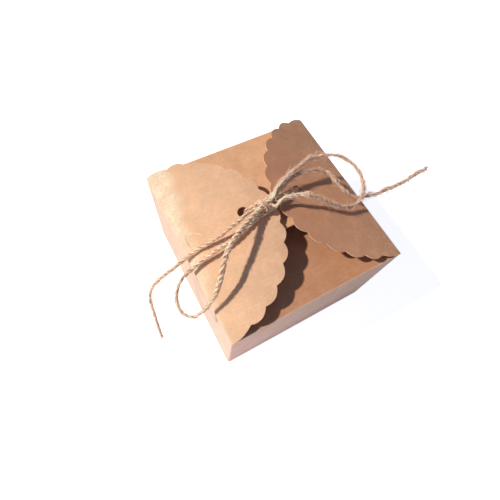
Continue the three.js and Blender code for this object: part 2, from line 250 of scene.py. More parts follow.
def twine_material(name, pale, brown):
    """Jute: fibres along each ply, some pale and some brown, with painted shade where the plies
    meet.
    """
    material, nodes, shader = new_material(name, pale)
    strand = nodes.add("ShaderNodeAttribute", attribute_name="strand").outputs["Vector"]
    painted_shade = nodes.add("ShaderNodeAttribute", attribute_name="painted_shade").outputs["Fac"]
    fine = nodes.noise(nodes.stretched(strand, (5.0, 5.0, 0.35), (0.0, 0.0, 0.0)), 1.0, 3.0, 0.6)
    broad = nodes.noise(nodes.stretched(strand, (1.3, 1.3, 0.09), (0.0, 0.0, 0.0)), 1.0, 2.0, 0.5)
    tone = nodes.mix(nodes.ramp(fine, 0.38, 0.56), brown, pale)
    tone = nodes.mix(nodes.ramp(broad, 0.42, 0.6, 0.0, 0.6), tone, shade(pale, 1.2))
    # Painted shade in the grooves between the plies and on each ply's side towards the other.
    tone = nodes.mix(nodes.ramp(painted_shade, 0.05, 0.6, 0.0, 0.95), tone, shade(brown, 0.3))
    nodes.tree.links.new(tone, shader.inputs["Base Color"])
    nodes.tree.links.new(nodes.ramp(fine, 0.3, 0.7, 0.75, 0.95), shader.inputs["Roughness"])
    shader.inputs["Specular IOR Level"].default_value = 0.25
    bump = nodes.add("ShaderNodeBump", {"Strength": 0.6, "Distance": 0.15 * MM, "Height": fine})
    nodes.tree.links.new(bump.outputs[0], shader.inputs["Normal"])
    return material


# Tones of the card: OUTSIDE for the left petal, BROWNER for the right one, which is darker as
# painted shade, PANEL for the walls, paler and pinker as painted bounce light, and INSIDE for the
# flaps.
OUTSIDE = linear(225, 177, 138)
# Painted shade towards the left petal's crease.
OUTSIDE_PAINTED_SHADE = linear(204, 167, 131)
# Tone of a painted highlight strip along the left petal's crease.
LEFT_CREASE_HIGHLIGHT = linear(214, 204, 174)
BROWNER = linear(185, 131, 98)
# Painted light towards the right petal's crease.
BROWNER_PAINTED_LIGHT = linear(216, 163, 122)
# The walls' card is paler and pinker than the petals', as painted bounce light.
PANEL = linear(208, 178, 154)
INSIDE = linear(218, 168, 127)
INSIDE_BROWNER = linear(190, 137, 101)
CUT = linear(214, 176, 141)
card_outside = card_material(
    "card_outside", OUTSIDE, linear(212, 164, 124), 0.0, OUTSIDE_PAINTED_SHADE, LEFT_CREASE_HIGHLIGHT
)
# The right petal's card is a darker, browner copy of the left one's, as painted shade.
card_browner = card_material(
    "card_browner", BROWNER, linear(186, 133, 98), 0.47, BROWNER_PAINTED_LIGHT
)
card_wall_painted_light = card_material("card_wall_painted_light", PANEL, linear(203, 169, 143), 0.13)
card_inside = card_material("card_inside", INSIDE, linear(210, 154, 109), 0.31)
card_inside_browner = card_material(
    "card_inside_browner", INSIDE_BROWNER, linear(182, 125, 85), 0.7
)
card_cut = edge_material("card_cut", CUT)
jute = twine_material("jute", linear(255, 226, 192), linear(202, 138, 92))
jute_hair = twine_material("jute_hair", linear(255, 217, 188), linear(184, 120, 76))
jute_pale = twine_material("jute_pale", linear(255, 240, 208), linear(236, 192, 138))
jute_browner = twine_material("jute_browner", linear(255, 228, 204), linear(140, 82, 54))


# ---- Meshes ----


def new_piece(name, verts, faces, materials, slots=None, sharp=40):
    mesh = bpy.data.meshes.new(name)
    mesh.from_pydata([Vector(v) * MM for v in verts], [], faces)
    for material in materials:
        mesh.materials.append(material)
    if slots:
        mesh.polygons.foreach_set("material_index", slots)
    mesh.polygons.foreach_set("use_smooth", [True] * len(mesh.polygons))
    mesh.set_sharp_from_angle(angle=math.radians(sharp))
    mesh.validate()
    mesh.update()
    piece = bpy.data.objects.new(name, mesh)
    scene.collection.objects.link(piece)
    return piece


def settle(piece, body, slot, *nodes):
    """Says on which body a piece rides and hides the CAD nodes that it replaces. slot is not used.
    """
    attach(piece, body)
    if nodes:
        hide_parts(*nodes)


def dense(loop, step):
    """The closed loop with its long edges divided."""
    made = []
    for i, here in enumerate(loop):
        after = loop[(i + 1) % len(loop)]
        parts = max(1, round(math.dist(here, after) / step))
        made += [
            tuple(a + (b - a) * k / parts for a, b in zip(here, after)) for k in range(parts)
        ]
    return made


def half_turn(steps=6):
    """Cosine and sine of the angles that divide a half turn, without its ends."""
    angles = [math.pi * k / steps for k in range(1, steps)]
    return [(math.cos(angle), math.sin(angle)) for angle in angles]


def inside_loop(loop, u, v):
    odd = False
    for i, (x0, y0) in enumerate(loop):
        x1, y1 = loop[i - 1]
        if (y0 > v) != (y1 > v) and u < (x1 - x0) * (v - y0) / (y1 - y0) + x0:
            odd = not odd
    return odd


def edge_distance(loops, u, v):
    return min(math.dist((u, v), point) for loop in loops for point in loop)


def curved(start, control, end, t):
    """The point at t, from 0 to 1, on a quadratic curve."""
    return start * (1 - t) ** 2 + control * (2 * t * (1 - t)) + end * t**2


def rounded(corners, steps=6):
    """A loop from corners of (u, v, radius), with the radius as the setback's measure."""
    loop = []
    for i, (u, v, radius) in enumerate(corners):
        here = Vector((u, v))
        before = (Vector(corners[i - 1][:2]) - here).normalized()
        after = (Vector(corners[(i + 1) % len(corners)][:2]) - here).normalized()
        if radius == 0:
            loop.append((u, v))
            continue
        setback = radius / math.tan(before.angle(after) / 2)
        start, end = here + before * setback, here + after * setback
        for k in range(steps + 1):
            loop.append(tuple(curved(start, here, end, k / steps)))
    return loop


def cut_flat(outline, holes, spacing):
    """The flat card's points and triangles, with rows of points over its inside."""
    outer = dense(outline, spacing * 0.7)
    loops = [outer, *holes]

    def on_card(u, v):
        return inside_loop(outer, u, v) and not any(inside_loop(hole, u, v) for hole in holes)

    points, edges = [], []
    for loop in loops:
        first = len(points)
        points += loop
        edges += [(first + i, first + (i + 1) % len(loop)) for i in range(len(loop))]
    us, vs = [p[0] for p in outer], [p[1] for p in outer]
    row = 0
    u = min(us) + spacing * 0.5
    while u < max(us):
        v = min(vs) + spacing * (0.5 if row % 2 else 1.0)
        while v < max(vs):
            if on_card(u, v) and edge_distance(loops, u, v) > spacing * 0.45:
                points.append((u, v))
            v += spacing
        u += spacing * 0.87
        row += 1
    made = delaunay_2d_cdt([Vector(p) for p in points], edges, [], 0, 1e-6)
    flat = [tuple(p) for p in made[0]]
    triangles = []
    for triangle in made[2]:
        cu = sum(flat[i][0] for i in triangle) / 3
        cv = sum(flat[i][1] for i in triangle) / 3
        if on_card(cu, cv):
            triangles.append(tuple(triangle))
    return flat, triangles


# The card is pressed thinner along its crease, by so much on each face and over about this width.
PRESSED = 0.02
PRESSED_WIDTH = 0.8
EASED_EDGE = 0.06


def card_piece(name, outline, surface, holes=(), spacing=2.6, nose=True, faces_of=card_inside):
    """A sheet of card cut to a flat outline, with its crease on u = 0, laid on a curved surface.

    nose rounds the edge on the crease and presses the card there.
    """
    flat, triangles = cut_flat(outline, holes, spacing)
    verts, along, normals = [], [], []
    for u, v in flat:
        here = Vector(surface(u, v))
        du = Vector(surface(u + 0.01, v)) - Vector(surface(u - 0.01, v))
        dv = Vector(surface(u, v + 0.01)) - Vector(surface(u, v - 0.01))
        normal = du.cross(dv).normalized()
        half = CARD / 2 - (PRESSED * math.exp(-((u / PRESSED_WIDTH) ** 2)) if nose else 0.0)
        verts.append(here + normal * half)
        along.append(du.normalized())
        normals.append((normal, half))
    count = len(flat)
    verts += [verts[i] - normals[i][0] * 2 * normals[i][1] for i in range(count)]
    faces, slots = [], []
    # Its keys are the triangles' sides, in the order they come in.
    edge_use = {}
    for a, b, c in triangles:
        faces += [(a, b, c), (c + count, b + count, a + count)]
        slots += [0, 0]
        for e in ((a, b), (b, c), (c, a)):
            edge_use[e] = True
    arcs = {}

    def arc(i):
        if i not in arcs:
            normal, half = normals[i]
            middle = verts[i] - normal * half
            chain = [i]
            for cosine, sine in half_turn():
                verts.append(middle + normal * half * cosine - along[i] * half * sine)
                chain.append(len(verts) - 1)
            chain.append(i + count)
            arcs[i] = chain
        return arcs[i]

    for a, b in list(edge_use):
        if (b, a) in edge_use:
            continue
        if nose and flat[a][0] < 1e-4 and flat[b][0] < 1e-4:
            one, two = arc(a), arc(b)
            for k in range(len(one) - 1):
                faces.append((one[k + 1], two[k + 1], two[k], one[k]))
                slots.append(0)
        else:
            faces.append((a + count, b + count, b, a))
            slots.append(1)
    piece = new_piece(name, verts, faces, [faces_of, card_cut], slots)
    bevel = piece.modifiers.new("eased_edge", "BEVEL")
    bevel.width = EASED_EDGE * MM
    bevel.segments = 2
    bevel.limit_method = "ANGLE"
    bevel.angle_limit = math.radians(60)
    return piece


# ---- Petals ----


def scalloped_edge(steps=9):
    """A petal's outline from its crease: scallops on an ellipse, SCALLOPS_FROM degrees each way."""

    def on_ellipse(degrees):
        angle = math.radians(degrees)
        return Vector((HALF * math.cos(angle), PETAL_HALF_WIDTH * math.sin(angle)))

    spread = 2 * SCALLOPS_FROM
    cusps = [on_ellipse(-SCALLOPS_FROM + spread * i / SCALLOPS) for i in range(SCALLOPS + 1)]
    cusps = [Vector((0.0, -HALF)), *cusps, Vector((0.0, HALF))]
    loop = [tuple(cusps[0])]
    for i, (start, end) in enumerate(zip(cusps, cusps[1:])):
        chord = (start + end) / 2
        rise = END_SCALLOP_RISE if i in (0, SCALLOPS + 1) else SCALLOP_RISE
        crest = chord + chord.normalized() * rise
        control = crest * 2 - chord
        for k in range(1, steps + 1):
            loop.append(tuple(curved(start, control, end, k / steps)))
    return loop


def petal_surface(side, at_crease, at_tip, twist, drop, swing):
    """side is -1 for the left petal and 1 for the right.

    twist raises the petal towards -Y, drop lowers its front and back edges, and swing moves its tip
    towards +Y on the left petal and -Y on the right one.
    """
    start = math.radians(at_crease)
    radius = PETAL_LENGTH / (start - math.radians(at_tip))

    def surface(u, v):
        v += swing * u / PETAL_LENGTH
        y = v if side < 0 else -v
        slope = start - u / radius
        inward = radius * (math.sin(start) - math.sin(slope))
        rise = radius * (math.cos(slope) - math.cos(start))
        share = min(1.0, max(0.0, u / PETAL_LENGTH))
        rise -= twist * (y / HALF) * share
        rise -= drop * (y / HALF) ** 2 * math.sin(math.pi / 2 * share)
        wave = noise.noise(Vector((u * 0.05, y * 0.035, 3.0 * side))) * 0.35
        rise += wave * min(1.0, max(0.0, u) / 10)
        return (side * (CREASE - inward), y, CREASE_HEIGHT + rise)

    return surface


def petal_hole(side, sides=28):
    loop = []
    shift = RIGHT_HOLE_SHIFT if side > 0 else 0.0
    for k in range(sides):
        angle = -2 * math.pi * k / sides
        wobble = HOLE_RADIUS * (1 + 0.015 * math.sin(3 * angle + side))
        u = HOLE_FROM_CREASE + shift + wobble * math.cos(angle)
        loop.append((u, -side * HOLE_OFFSET + wobble * math.sin(angle)))
    return loop


LEFT_SHAPE = {"at_crease": 36, "at_tip": -5, "twist": 0.0, "drop": 4.2, "swing": -0.5}
RIGHT_SHAPE = {"at_crease": 24, "at_tip": 8, "twist": -3.6, "drop": -0.6, "swing": 0.7}
for side, title, shape, finish in (
    (-1, "left", LEFT_SHAPE, card_outside),
    (1, "right", RIGHT_SHAPE, card_browner),
):
    petal = card_piece(
        "petal_card_" + title,
        scalloped_edge(),
        petal_surface(side, **shape),
        holes=[petal_hole(side)],
        faces_of=finish,
    )
    settle(petal, "petal_" + title, "kraft_card_outside", "petal_" + title)


# ---- Inner flaps ----


INNER_FLAP_HALF = 43.0
INNER_TIP_HALF = 15
INNER_TIP_RADIUS = 4


def inner_flap(title, length, tilt, front):
    angle = math.radians(tilt)
    crease, tip, radius = INNER_FLAP_HALF, INNER_TIP_HALF, INNER_TIP_RADIUS
    outline = rounded(
        [(0, -crease, 0), (length, -tip, radius), (length, tip, radius), (0, crease, 0)]
    )

    def surface(u, v):
        bend = 0.5 * math.sin(math.pi * min(1.0, max(0.0, u / length)))
        wave = noise.noise(Vector((u * 0.04, v * 0.04, 9.0 if front else 5.0))) * 0.3
        bend += wave * min(1.0, max(0.0, u) / 8)
        if front:
            return (-v, -CREASE + u, CREASE_HEIGHT - bend * 0.8)
        out, rise = u * math.cos(angle), u * math.sin(angle)
        return (v, CREASE - out, CREASE_HEIGHT + rise - bend)

    name = "inner_flap_card_" + title
    finish = card_inside_browner if front else card_inside
    flap = card_piece(name, outline, surface, spacing=3.2, faces_of=finish)
    settle(flap, "inner_flap_" + title, "kraft_card_inside", "inner_flap_" + title)


inner_flap("front", length=42.0, tilt=0.0, front=True)
inner_flap("back", length=58.0, tilt=9.0, front=False)


# ---- Walls: one folded sleeve, with its raw edge over the glued tab at the back left corner ----


TAB_X = 44.23
WALL_BULGE = 0.35


def sleeve_line():
    """Middle line of the card seen from above, as (place, outward, share along the panel)."""
    fold = 0.75
    reach = CREASE - fold
    line = []

    def panel(start, end, outward, count=22):
        for k in range(count + 1):
            t = k / count
            line.append((Vector(start).lerp(Vector(end), t), Vector(outward), t))

    def corner(middle, first, steps=6):
        for k in range(1, steps):
            angle = math.radians(first + 90 * k / steps)
            outward = Vector((math.cos(angle), math.sin(angle)))
            line.append((Vector(middle) + outward * fold, outward, 0.0))

    panel((-CREASE, 44.3), (-CREASE, -reach), (-1, 0))
    corner((-reach, -reach), 180)
    panel((-reach, -CREASE), (reach, -CREASE), (0, -1))
    corner((reach, -reach), 270)
    panel((CREASE, -reach), (CREASE, reach), (1, 0))
    corner((reach, reach), 0)
    panel((reach, CREASE), (-TAB_X + fold, CREASE), (0, 1))
    corner((-TAB_X + fold, reach), 90)
    line.append((Vector((-TAB_X, reach)), Vector((-1, 0)), 0.0))
    return line


def make_sleeve():
    """The four walls, which bulge a little in the middle of each panel."""
    line = sleeve_line()
    half = CARD / 2
    rows = 22
    low, high = half, CREASE_HEIGHT
    profile = [(half, low + (high - low) * k / rows) for k in range(rows + 1)]
    profile += [(half * cosine, high + half * sine) for cosine, sine in half_turn()]
    profile += [(-half, high - (high - low) * k / rows) for k in range(rows + 1)]
    profile += [(-half * cosine, low - half * sine) for cosine, sine in half_turn()]
    verts, faces, slots = [], [], []
    around = len(profile)
    for place, outward, share in line:
        for offset, z in profile:
            rise = min(1.0, max(0.0, (z - low) / (high - low)))
            bulge = WALL_BULGE * math.sin(math.pi * rise) * math.sin(math.pi * share)
            point = place + outward * (offset + bulge)
            verts.append((point.x, point.y, z))
    for i in range(len(line) - 1):
        for k in range(around):
            a, b = i * around + k, i * around + (k + 1) % around
            faces.append((a, a + around, b + around, b))
            slots.append(0)
    last = (len(line) - 1) * around
    faces.append(tuple(range(around)))
    faces.append(tuple(last + around - 1 - k for k in range(around)))
    slots += [1, 1]
    sleeve = new_piece("box_sleeve", verts, faces, [card_wall_painted_light, card_cut], slots, sharp=50)
    settle(
        sleeve, "box", "kraft_card_outside", "wall_front", "wall_right", "wall_back", "wall_left"
    )


make_sleeve()

tab = card_piece(
    "glued_tab",
    rounded([(0, 5.2, 0), (15, 11, 1), (15, 48.5, 1), (0, 54.3, 0)]),
    lambda u, v: (-TAB_X, 44.0 - u, v),
    nose=False,
    spacing=4.0,
)
settle(tab, "box", "kraft_card_inside", "seam_tab")


# ---- Bottom: the tongue of the back flap comes up through the notch of the front one ----

RESTING = CARD / 2
LAYER = 0.8


def smooth(t):
    t = min(1.0, max(0.0, t))
    return t * t * (3 - 2 * t)


def bottom_flap(title, corners, place, height):
    outline = rounded(corners)
    piece = card_piece(
        "bottom_card_" + title,
        outline,
        lambda u, v: (*place(u, v), height(u)),
        spacing=3.4,
        faces_of=card_inside,
    )
    settle(piece, "box", "kraft_card_inside", "bottom_flap_" + title)


def rising(level, over=0.9):
    """A flap that lies level layers up from just inside its crease."""
    return lambda u: RESTING + LAYER * level * smooth(u / over)


def tongue_height(u):
    """The back flap lies lowest, and its tongue climbs over the two layers in front of it."""
    return RESTING + LAYER * 3 * smooth((u - 36.5) / 12.5)


bottom_flap(
    "back",
    [
        (0, -43.9, 0), (38.05, -35.9, 5), (38.05, -14.5, 0.4), (66.05, -14.5, 6),
        (66.05, 14.5, 6), (38.05, 14.5, 0.4), (38.05, 35.9, 5), (0, 43.9, 0),
    ],
    lambda u, v: (v, CREASE - u),
    tongue_height,
)
bottom_flap(
    "front",
    [
        (0, -43.9, 0), (56.55, -35.9, 5), (56.55, -17, 1), (38.55, -17, 2),
        (38.55, 17, 2), (56.55, 17, 1), (56.55, 35.9, 5), (0, 43.9, 0),
    ],
    lambda u, v: (-v, -CREASE + u),
    rising(2),
)
for title, side in (("left", -1), ("right", 1)):
    bottom_flap(
        title,
        [(0, -43.9, 0), (26.55, -30.9, 5), (26.55, 30.9, 5), (0, 43.9, 0)],
        lambda u, v, side=side: (side * (CREASE - u), -side * v),
        rising(1),
    )


# ---- Twine ----

# Points along the twine's middle, as in the CAD source.
ROUTES = {
    "twine_tail_left": [
        (-11.3, -0.9, 75.2), (-15.8, -1.3, 75.9), (-19.9, -2.4, 75.7), (-23.9, -3.1, 75.1),
        (-27.8, -3.4, 73.5), (-32.6, -3.4, 70.7), (-36.9, -3.1, 67.4), (-41.5, -2.8, 64.1),
        (-45.5, -3.0, 62.2), (-51.1, -4.1, 60.9), (-56.0, -4.3, 58.3), (-61.1, -4.0, 53.5),
        (-64.9, -3.7, 46.5), (-67.3, -4.7, 38.5), (-68.7, -7.3, 27.0), (-70.4, -11.7, 13.0),
        (-71.7, -15.9, 1.7),
    ],
    "twine_loop_left": [
        (-11.2, -3.2, 77.4), (-17.3, -6.2, 78.3), (-22.3, -8.9, 79.8), (-26.7, -11.5, 80.4),
        (-31.1, -14.5, 80.2), (-34.6, -17.5, 78.7), (-38.3, -22.1, 75.7), (-43.8, -26.5, 69.3),
        (-48.4, -27.9, 65.3), (-53.5, -28.2, 63.2), (-56.9, -24.4, 62.0), (-56.9, -18.8, 61.8),
        (-54.6, -14.3, 62.2), (-51.1, -11.3, 63.0), (-47.0, -9.6, 62.7), (-41.3, -8.8, 65.8),
        (-36.1, -9.0, 69.3), (-30.4, -8.9, 71.5), (-25.0, -8.2, 72.7), (-18.8, -6.6, 73.6),
        (-11.2, -4.3, 74.8),
    ],
    "twine_loop_right": [
        (-2.7, -0.9, 78.7), (1.2, 2.4, 79.0), (8.5, 5.5, 79.8), (16.9, 8.1, 80.2),
        (25.1, 9.5, 79.1), (31.0, 8.1, 79.1), (36.4, 5.8, 78.4), (40.4, 1.6, 77.0),
        (42.9, -3.5, 75.0), (43.1, -8.8, 72.8), (41.5, -12.2, 71.0), (38.7, -14.9, 69.5),
        (34.9, -16.1, 67.9), (29.2, -16.1, 70.0), (24.0, -14.3, 72.8), (19.1, -11.9, 76.2),
        (14.6, -9.4, 79.2), (9.6, -6.6, 80.9), (5.7, -4.6, 79.9), (1.4, -2.8, 77.5),
        (-2.4, -3.9, 76.0),
    ],
    "twine_tail_right": [
        (-2.2, 1.5, 76.8), (3.2, 2.4, 76.5), (8.3, 4.2, 77.1), (13.8, 5.5, 77.4),
        (20.0, 5.5, 76.7), (26.4, 4.7, 74.7), (30.2, 1.6, 73.4), (31.3, -4.1, 72.4),
        (33.3, -9.3, 71.2), (38.0, -12.9, 68.0), (43.4, -14.2, 67.2), (50.5, -15.1, 66.4),
        (58.8, -15.0, 65.3), (67.8, -14.9, 64.6), (77.7, -13.8, 64.1), (86.2, -13.2, 63.6),
    ],
    "twine_band": [
        (-11.4, 1.3, 74.5), (-13.0, 1.5, 73.9), (-14.1, 1.5, 73.3), (-14.6, 1.5, 72.2),
        (-14.2, 1.5, 71.0), (-12.8, 1.5, 70.2), (-8.5, 1.6, 69.3), (-4.0, 1.8, 68.8),
        (0.0, 1.9, 68.6), (4.0, 1.9, 68.4), (8.5, 1.9, 68.3), (12.0, 1.9, 68.5),
        (13.3, 1.9, 69.1), (13.7, 1.9, 70.2), (13.2, 1.9, 71.3), (12.0, 1.8, 72.0),
        (8.5, 1.5, 72.8), (4.0, 0.8, 73.9), (0.5, 0.0, 75.2), (-2.0, -0.5, 75.7),
    ],
}
# Where the wraps of the knot pull its strands together.
NECK = Vector((-8.4, -1.6, 76.6))

# Jute twine is uneven: pairs of the share of a cord's length and its size there.
SIZES = {
    "twine_tail_left": (
        (0, 0.9), (0.08, 0.88), (0.17, 0.86), (0.45, 0.84), (0.6, 0.74), (0.72, 0.85), (1, 0.9),
    ),
    "twine_loop_left": (
        (0, 1.35), (0.14, 1.35), (0.3, 1.25), (0.42, 0.85), (0.5, 0.74), (0.64, 0.8),
        (0.72, 0.94), (0.82, 0.94), (0.9, 1.05), (1, 1.25),
    ),
    "twine_loop_right": (
        (0, 1.05), (0.09, 0.9), (0.2, 0.6), (0.3, 0.56), (0.42, 0.68), (0.6, 0.74),
        (0.75, 0.62), (0.84, 0.72), (0.92, 0.95), (1, 1.05),
    ),
    "twine_band": ((0, 0.6), (0.3, 0.72), (1, 0.72)),
    "twine_tail_right": (
        (0, 1.05), (0.1, 0.9), (0.22, 0.62), (0.5, 0.58), (0.64, 0.66), (0.8, 0.85), (1, 0.95),
    ),
}
WRAP_SIZES = ((0, 0.46), (1, 0.46))
# How far along Y the visual twine lies from its CAD route, at the first points of a cord.
NUDGES = {"twine_tail_left": (0.0, -0.3, -0.7, -0.8, -0.8, -0.6, -0.3)}
# Long stray fibres over the left petal.
CURL_RADIUS = 0.11
CURLS = (
    (
        (-41.5, 7.3, 62.7), (-42.1, 5.3, 62.4), (-42.2, 2.7, 62.3), (-41.7, 0.1, 62.6),
        (-40.5, -2.0, 63.4),
    ),
    ((-40.5, 5.7, 63.4), (-38.1, 5.4, 64.8), (-36.1, 3.4, 65.9), (-35.0, 1.5, 66.4)),
)
# Loose fibres: long and short ones that stand off the twine, as how many a mm, the longest and how
# coarse, and ones that lie along it, as how many a mm and how far they lift.
LEFT_HAIRS = {"long": (1.8, 4.0, 0.85), "short": (5.0, 1.6, 1.0), "along": (2.4, 0.7)}
RIGHT_HAIRS = {"long": (6.5, 5.5, 1.15), "short": (9.0, 2.4, 1.0), "along": (3.2, 1.6)}
KNOT_HAIRS = {"long": (6.0, 2.5, 0.8), "along": (3.0, 0.6)}
# The cut ends: how far the plies open there, and how many loose fibres they have and how long.
BARE_ENDS = ("twine_tail_left", "twine_tail_right")
FRAYED = 5.0
TUFT_FIBRES = 16
TUFT_LENGTH = 2.6
# The distance between the points that say where a cord runs.
PATH_STEP = 3.0


def catmull(points, each=24):
    """Centripetal Catmull-Rom curve through the points."""
    points = [Vector(p) for p in points]
    ends = [points[0] * 2 - points[1], *points, points[-1] * 2 - points[-2]]
    made = []
    for p0, p1, p2, p3 in zip(ends, ends[1:], ends[2:], ends[3:]):
        pairs = (p0, p1), (p1, p2), (p2, p3)
        d0, d1, d2 = (max((b - a).length ** 0.5, 1e-4) for a, b in pairs)
        t1 = ((p1 - p0) / d0 - (p2 - p0) / (d0 + d1) + (p2 - p1) / d1) * d1
        t2 = ((p2 - p1) / d1 - (p3 - p1) / (d1 + d2) + (p3 - p2) / d2) * d1
        for k in range(each):
            t = k / each
            cubic = (p1 - p2) * 2 + t1 + t2
            square = (p2 - p1) * 3 - t1 * 2 - t2
            made.append(p1 + t1 * t + square * t**2 + cubic * t**3)
    made.append(points[-1])
    return made


def evenly(points, step):
    """The polyline as points a step apart, and its length."""
    length = sum((b - a).length for a, b in zip(points, points[1:]))
    count = max(2, round(length / step))
    made, walked, i = [points[0].copy()], 0.0, 0
    for k in range(1, count):
        target = length * k / count
        while walked + (points[i + 1] - points[i]).length < target:
            walked += (points[i + 1] - points[i]).length
            i += 1
        part = (target - walked) / (points[i + 1] - points[i]).length
        made.append(points[i].lerp(points[i + 1], part))
    made.append(points[-1].copy())
    return made, length


def frames(line):
    """Tangents, and two sideways directions that don't turn about the line."""
    tangents = []
    for i in range(len(line)):
        tangents.append((line[min(i + 1, len(line) - 1)] - line[max(i - 1, 0)]).normalized())
    side = tangents[0].orthogonal().normalized()
    made = []
    for tangent in tangents:
        side = (side - tangent * side.dot(tangent)).normalized()
        made.append((tangent, side, tangent.cross(side)))
    return made


class Strands:
    """Gathers tubes of twine into one mesh, with what the material reads."""

    def __init__(self):
        self.verts, self.faces, self.strand, self.painted_shade = [], [], [], []

    def tube(self, rings, strand, painted_shade):
        """Rings of points, all alike in number, closed at both ends."""
        first = len(self.verts)
        sides = len(rings[0])
        for ring, marks, deep in zip(rings, strand, painted_shade):
            self.verts += ring
            self.strand += marks
            self.painted_shade += deep
        for i in range(len(rings) - 1):
            for k in range(sides):
                a = first + i * sides + k
                b = first + i * sides + (k + 1) % sides
                self.faces.append((a, b, b + sides, a + sides))
        last = first + (len(rings) - 1) * sides
        self.faces.append(tuple(first + sides - 1 - k for k in range(sides)))
        self.faces.append(tuple(last + k for k in range(sides)))

    def piece(self, name, material):
        made = new_piece(name, self.verts, self.faces, [material], sharp=60)
        mesh = made.data
        marks = mesh.attributes.new("strand", "FLOAT_VECTOR", "POINT")
        marks.data.foreach_set("vector", [c for m in self.strand for c in m])
        deep = mesh.attributes.new("painted_shade", "FLOAT", "POINT")
        deep.data.foreach_set("value", self.painted_shade)
        return made


# The plies: their radius, how far their middles lie from the twine's, the length of one turn of the
# twine and of one turn of the yarns in a ply, and the step between rings of points.
PLY_RADIUS = 0.5
PLY_OFFSET = 0.41
LAY_LENGTH = 5.8
PLY_LAY = 4.4
PLY_SIDES = 20
RING_STEP = 0.34
# No loose fibre goes lower than this.
LOWEST = 0.15


def sized(sizes, share):
    """The twine's size at a share of its length, from pairs of share and size."""
    for (s0, size0), (s1, size1) in zip(sizes, sizes[1:]):
        if share <= s1:
            return size0 + (size1 - size0) * smooth((share - s0) / (s1 - s0))
    return sizes[-1][1]


def two_ply(strands, line, seed, sizes, fray=(0, 0)):
    """Two plies laid round a line, with sizes along it. fray opens its ends over a length."""
    step = (line[1] - line[0]).length
    total = step * (len(line) - 1)
    turned = frames(line)
    for ply in (0, 1):
        rings, marks, deeps = [], [], []
        for i, point in enumerate(line):
            s = i * step
            tangent, across, up = turned[i]
            loose = 1 + 0.25 * noise.noise(Vector((s * 0.11, seed, 1.5)))
            angle = 2 * math.pi * s / LAY_LENGTH
            angle += 0.9 * noise.noise(Vector((s * 0.07, seed, 7.0))) + math.pi * ply
            out = across * math.cos(angle) + up * math.sin(angle)
            size = sized(sizes, s / total)
            offset = PLY_OFFSET * loose * size
            opened = 0.0
            if fray[0] and s < fray[0]:
                opened = 1 - s / fray[0]
            if fray[1] and total - s < fray[1]:
                opened = 1 - (total - s) / fray[1]
            offset *= 1 + 0.9 * opened**1.5
            middle = point + out * offset
            swell = 1 + 0.2 * noise.noise(Vector((s * 0.22, seed + ply * 9, 0.0)))
            radius = PLY_RADIUS * size * swell
            if i in (0, len(line) - 1):
                radius *= 0.7
            ring, mark, deep = [], [], []
            for k in range(PLY_SIDES):
                around = 2 * math.pi * k / PLY_SIDES
                own = around - 2 * math.pi * s / PLY_LAY - 3 * swell
                valley = math.cos(4 * own + seed)
                lobes = 0.1 * valley + 0.05 * math.cos(7 * own + 2 * seed)
                far = s * 0.9 + seed * 5 + ply * 40
                rough = 0.09 * noise.noise(Vector((math.cos(own) * 2.2, math.sin(own) * 2.2, far)))
                way = across * math.cos(around) + up * math.sin(around)
                ring.append(middle + way * radius * (1 + lobes + rough))
                mark.append((math.cos(own), math.sin(own), s + seed * 31 + ply * 17))
                # Painted shade: the ply's side towards the twine's middle and the valleys between
                # its yarns.
                inner = max(0.0, -math.cos(around - angle))
                deep.append(min(1.0, inner**2 + 0.32 * max(0.0, -valley) ** 2))
            rings.append(ring)
            marks.append(mark)
            deeps.append(deep)
        strands.tube(rings, marks, deeps)


def fibre(strands, line, radii, spacing, seed):
    """A thin three-sided tube along a line, with a radius for each of its points."""
    rings, marks, deeps = [], [], []
    for k, (_, across, up) in enumerate(frames(line)):
        ring = []
        for j in range(3):
            angle = 2 * math.pi * j / 3
            ring.append(line[k] + (across * math.cos(angle) + up * math.sin(angle)) * radii[k])
        rings.append(ring)
        marks.append([(0.3, seed % 3, k * spacing + seed)] * 3)
        deeps.append([0.0] * 3)
    strands.tube(rings, marks, deeps)


def hair(strands, start, heading, bend, length, radius, seed):
    """One loose fibre that stands off, thin and curved."""
    line, here, way = [], start.copy(), heading.normalized()
    steps = 7
    for k in range(steps + 1):
        line.append(here.copy())
        drift = Vector([noise.noise(Vector((seed, k * 0.6, at))) for at in (0.0, 5.0, 9.0)])
        way = (way + (bend + drift * 0.9) * (length / steps) * 0.22).normalized()
        here += way * (length / steps)
        here.z = max(here.z, LOWEST)
    radii = [radius * (1 - 0.75 * k / steps) for k in range(steps + 1)]
    fibre(strands, line, radii, length / steps, seed)


def fuzz(strands, line, per_mm, longest, coarse=1.0):
    """Fibres that stand off the twine on all sides."""
    step = (line[1] - line[0]).length
    turned = frames(line)
    for _ in range(round(per_mm * step * len(line))):
        i = rng.randrange(2, len(line) - 2)
        tangent, across, up = turned[i]
        angle = rng.uniform(0, 2 * math.pi)
        out = across * math.cos(angle) + up * math.sin(angle)
        heading = tangent * rng.choice((-1, 1)) * rng.uniform(0.5, 1.8)
        heading += out * rng.uniform(0.2, 1.0)
        length = longest * (0.12 + 0.88 * rng.random() ** 2.4)
        bend = out * rng.uniform(-1.0, 0.5) + tangent * rng.uniform(-0.5, 0.5)
        thick = rng.uniform(0.045, 0.1) * coarse
        hair(strands, line[i] + out * 0.5, heading, bend, length, thick, rng.uniform(0, 99))


def thread(strands, line, radius, seed):
    """A fibre along the points given, thin at its ends."""
    last = len(line) - 1
    radii = [radius * (0.45 + 0.55 * math.sin(math.pi * k / last)) for k in range(last + 1)]
    fibre(strands, line, radii, 0.7, seed)


